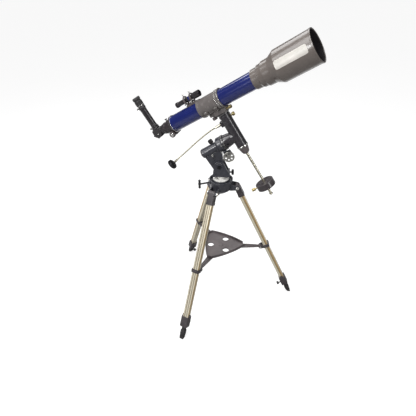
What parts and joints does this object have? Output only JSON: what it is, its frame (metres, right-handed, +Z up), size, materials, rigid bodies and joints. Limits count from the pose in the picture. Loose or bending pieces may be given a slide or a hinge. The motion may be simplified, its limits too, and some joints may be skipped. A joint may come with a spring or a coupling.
{
  "type": "telescope on tripod",
  "caption": "Small refracting telescope on a German equatorial mount, standing on a folding aluminium tripod with an accessory tray.",
  "frame": {"origin": "on the floor, under the middle of the object's bounding box", "axes": "+Z up; +X is the horizontal direction that the polar axis and the front of the tube point to; +Y completes the right-handed frame, and the polar axis lies in a plane parallel to XZ"},
  "size_m": [0.8102, 0.6978, 1.4045],
  "materials": {
    "casting": "dark grey semi-gloss enamel on cast aluminium",
    "tray_plastic": "dark taupe grey moulded plastic, satin gloss",
    "leg_plastic": "dark grey moulded plastic, satin",
    "black": "black moulded plastic and enamel, semi-gloss",
    "blue_paint": "deep blue gloss enamel",
    "chrome": "bright chrome plating",
    "steel": "plated steel",
    "leg_aluminium": "champagne anodised extrusion with fine draw lines",
    "bronze": "dull bronze plating",
    "foot_plastic": "dark grey rubber and dark anodised bar",
    "nylon": "white nylon, satin",
    "weight_iron": "grey enamelled cast iron, pale machined face",
    "circle_enamel": "pale enamel with dark graduations",
    "lens_glass": "coated glass"
  },
  "bodies": {
    "tripod_head": {"tripod_hub": "casting", "leg_1_hinge_bolt": "chrome", "leg_2_hinge_bolt": "chrome", "leg_3_hinge_bolt": "chrome"},
    "azimuth_lock": {"azimuth_lock_screw": "black"},
    "tray": {"accessory_tray": "tray_plastic"},
    "leg_1": {"leg_1_head": "leg_plastic", "leg_1_outer": "leg_aluminium", "leg_1_collar": "leg_plastic", "leg_1_clamp": "leg_plastic"},
    "leg_1_extension": {"leg_1_inner": "foot_plastic"},
    "leg_1_lock": {"leg_1_lock_knob": "black"},
    "leg_1_spreader": {"leg_1_brace": "tray_plastic"},
    "leg_2": {"leg_2_head": "leg_plastic", "leg_2_outer": "leg_aluminium", "leg_2_collar": "leg_plastic", "leg_2_clamp": "leg_plastic"},
    "leg_2_extension": {"leg_2_inner": "foot_plastic"},
    "leg_2_lock": {"leg_2_lock_knob": "black"},
    "leg_2_spreader": {"leg_2_brace": "tray_plastic"},
    "leg_3": {"leg_3_head": "leg_plastic", "leg_3_outer": "leg_aluminium", "leg_3_collar": "leg_plastic", "leg_3_clamp": "leg_plastic"},
    "leg_3_extension": {"leg_3_inner": "foot_plastic"},
    "leg_3_lock": {"leg_3_lock_knob": "black"},
    "leg_3_spreader": {"leg_3_brace": "tray_plastic"},
    "mount_base": {"azimuth_bearing": "nylon", "azimuth_base": "casting", "latitude_bolt": "chrome"},
    "latitude_drive": {"latitude_screw": "steel"},
    "polar_body": {"polar_housing": "casting", "polar_end_cap": "tray_plastic"},
    "ra_clutch": {"ra_clutch_knob": "black"},
    "ra_drive": {"ra_worm_wheel": "chrome"},
    "declination_head": {"ra_setting_circle": "circle_enamel", "polar_shaft": "steel", "dec_housing": "casting", "counterweight_bar": "steel", "dec_flex_shaft": "steel"},
    "weight": {"counterweight": "weight_iron"},
    "weight_lock": {"counterweight_screw": "bronze"},
    "dec_clutch": {"dec_clutch_knob": "bronze"},
    "dec_drive": {"dec_slow_motion_knob": "chrome"},
    "saddle": {"tube_clamp": "casting", "dec_setting_circle": "circle_enamel"},
    "clamp_lock": {"tube_clamp_knob": "tray_plastic"},
    "optical_tube": {"main_tube": "blue_paint", "dew_cap": "tray_plastic", "objective_cell": "black", "objective_lens": "lens_glass", "focuser_body": "tray_plastic", "finder_bracket": "tray_plastic", "finder_tube": "black"},
    "drawtube": {"drawtube": "chrome"},
    "focus_pinion": {"focus_knobs": "tray_plastic"},
    "diagonal": {"star_diagonal": "black"},
    "amplifier": {"barlow_tube": "black"},
    "ocular": {"eyepiece": "black"},
    "finder_focus": {"finder_eyepiece": "black"}
  },
  "joints": [
    {"name": "azimuth_lock_turn", "type": "hinge", "parent": "tripod_head", "child": "azimuth_lock", "pos_m": [-0.03408, -0.0088, 0.723], "axis": [-0.9397, -0.342, 0], "range_deg": [0, 360]},
    {"name": "tray_lift", "type": "slide", "parent": "tripod_head", "child": "tray", "axis": [0, 0, 1], "range_m": [0, 0.05]},
    {"name": "leg_1_fold", "type": "hinge", "parent": "tripod_head", "child": "leg_1", "pos_m": [0.08516, 0.00928, 0.692], "axis": [-0.0349, 0.9994, 0], "range_deg": [0, 12]},
    {"name": "leg_1_extend", "type": "slide", "parent": "leg_1", "child": "leg_1_extension", "axis": [0.4097, 0.0143, -0.9121], "range_m": [0, 0.24]},
    {"name": "leg_1_lock_turn", "type": "hinge", "parent": "leg_1", "child": "leg_1_lock", "pos_m": [0.35657, 0.01876, 0.06821], "axis": [-0.9116, -0.0318, -0.4099], "range_deg": [0, 360]},
    {"name": "leg_1_brace_fold", "type": "hinge", "parent": "leg_1", "child": "leg_1_spreader", "pos_m": [0.21677, 0.01387, 0.3258], "axis": [-0.0349, 0.9994, 0], "range_deg": [-48, 0]},
    {"name": "leg_2_fold", "type": "hinge", "parent": "tripod_head", "child": "leg_2", "pos_m": [-0.03259, 0.07189, 0.692], "axis": [-0.848, -0.5299, 0], "range_deg": [0, 12]},
    {"name": "leg_2_extend", "type": "slide", "parent": "leg_2", "child": "leg_2_extension", "axis": [-0.2172, 0.3476, -0.9121], "range_m": [0, 0.24]},
    {"name": "leg_2_lock_turn", "type": "hinge", "parent": "leg_2", "child": "leg_2_lock", "pos_m": [-0.17651, 0.3022, 0.06821], "axis": [0.4833, -0.7735, -0.4099], "range_deg": [0, 360]},
    {"name": "leg_2_brace_fold", "type": "hinge", "parent": "leg_2", "child": "leg_2_spreader", "pos_m": [-0.10238, 0.18357, 0.3258], "axis": [-0.848, -0.5299, 0], "range_deg": [-48, 0]},
    {"name": "leg_3_fold", "type": "hinge", "parent": "tripod_head", "child": "leg_3", "pos_m": [-0.02794, -0.0614, 0.692], "axis": [0.8829, -0.4695, 0], "range_deg": [0, 12]},
    {"name": "leg_3_extend", "type": "slide", "parent": "leg_3", "child": "leg_3_extension", "axis": [-0.1924, -0.3619, -0.9121], "range_m": [0, 0.24]},
    {"name": "leg_3_lock_turn", "type": "hinge", "parent": "leg_3", "child": "leg_3_lock", "pos_m": [-0.15544, -0.30118, 0.06821], "axis": [0.4282, 0.8054, -0.4099], "range_deg": [0, 360]},
    {"name": "leg_3_brace_fold", "type": "hinge", "parent": "leg_3", "child": "leg_3_spreader", "pos_m": [-0.08976, -0.17767, 0.3258], "axis": [0.8829, -0.4695, 0], "range_deg": [-48, 0]},
    {"name": "azimuth_turn", "type": "hinge", "parent": "tripod_head", "child": "mount_base", "pos_m": [0.00821, 0.00659, 0], "axis": [0, 0, 1], "continuous": true},
    {"name": "latitude_screw_turn", "type": "hinge", "parent": "mount_base", "child": "latitude_drive", "pos_m": [0.03021, 0.00659, 0.77], "axis": [1, 0, 0], "continuous": true},
    {"name": "latitude_tilt", "type": "hinge", "parent": "mount_base", "child": "polar_body", "pos_m": [0.00056, 0.00659, 0.80691], "axis": [0, -1, 0], "range_deg": [-15, 25]},
    {"name": "ra_clutch_turn", "type": "hinge", "parent": "polar_body", "child": "ra_clutch", "pos_m": [-0.02801, 0.00659, 0.90414], "axis": [-0.5299, 0, 0.848], "range_deg": [0, 180]},
    {"name": "ra_slow_motion", "type": "hinge", "parent": "polar_body", "child": "ra_drive", "pos_m": [0.04417, -0.00741, 0.87732], "axis": [0, -1, 0], "continuous": true},
    {"name": "right_ascension", "type": "hinge", "parent": "polar_body", "child": "declination_head", "pos_m": [0.07471, 0.00659, 0.953], "axis": [0.848, 0, 0.5299], "range_deg": [-75, 75]},
    {"name": "weight_slide", "type": "slide", "parent": "declination_head", "child": "weight", "axis": [0.5256, -0.1271, -0.8412], "range_m": [-0.12, 0.03]},
    {"name": "weight_lock_turn", "type": "hinge", "parent": "weight", "child": "weight_lock", "pos_m": [0.20578, -0.02715, 0.72437], "axis": [-0.848, 0, -0.5299], "range_deg": [0, 360]},
    {"name": "dec_clutch_turn", "type": "hinge", "parent": "declination_head", "child": "dec_clutch", "pos_m": [0.04182, 0.01803, 1.03771], "axis": [0.848, 0, 0.5299], "range_deg": [0, 180]},
    {"name": "dec_slow_motion", "type": "hinge", "parent": "declination_head", "child": "dec_drive", "pos_m": [-0.2049, 0.00298, 0.81925], "axis": [-0.7138, -0.0276, -0.6998], "continuous": true},
    {"name": "declination", "type": "hinge", "parent": "declination_head", "child": "saddle", "pos_m": [0.01531, 0.02095, 1.04805], "axis": [0.5256, -0.1271, -0.8412], "range_deg": [-90, 90]},
    {"name": "clamp_knob_turn", "type": "hinge", "parent": "saddle", "child": "clamp_lock", "pos_m": [-0.03054, 0.03583, 1.03617], "axis": [0.5256, -0.1271, -0.8412], "range_deg": [0, 360]},
    {"name": "tube_slide", "type": "slide", "parent": "saddle", "child": "optical_tube", "axis": [0.7966, -0.2734, 0.5391], "range_m": [-0.1, 0]},
    {"name": "focus_travel", "type": "slide", "parent": "optical_tube", "child": "drawtube", "axis": [-0.7966, 0.2734, -0.5391], "range_m": [0, 0.04]},
    {"name": "focus_knob_turn", "type": "hinge", "parent": "optical_tube", "child": "focus_pinion", "pos_m": [-0.20731, 0.09597, 0.92852], "axis": [0.2985, 0.9535, 0.0425], "range_deg": [-184, 0]},
    {"name": "diagonal_turn", "type": "hinge", "parent": "drawtube", "child": "diagonal", "pos_m": [-0.25521, 0.11059, 0.9368], "axis": [0.7966, -0.2734, 0.5391], "range_deg": [-90, 90]},
    {"name": "barlow_lift", "type": "slide", "parent": "diagonal", "child": "amplifier", "axis": [-0.5256, 0.1271, 0.8412], "range_m": [0, 0.014]},
    {"name": "eyepiece_lift", "type": "slide", "parent": "amplifier", "child": "ocular", "axis": [-0.5256, 0.1271, 0.8412], "range_m": [0, 0.02]},
    {"name": "finder_focus_turn", "type": "hinge", "parent": "optical_tube", "child": "finder_focus", "pos_m": [-0.18529, 0.08318, 1.06071], "axis": [0.7966, -0.2734, 0.5391], "range_deg": [-180, 180]}
  ],
  "couplings": [
    {"joint": "leg_1_brace_fold", "follows": "leg_1_fold", "ratio": -4},
    {"joint": "leg_2_fold", "follows": "leg_1_fold", "ratio": 1},
    {"joint": "leg_2_brace_fold", "follows": "leg_1_fold", "ratio": -4},
    {"joint": "leg_3_fold", "follows": "leg_1_fold", "ratio": 1},
    {"joint": "leg_3_brace_fold", "follows": "leg_1_fold", "ratio": -4},
    {"joint": "focus_knob_turn", "follows": "focus_travel", "rad_per_m": -80}
  ]
}
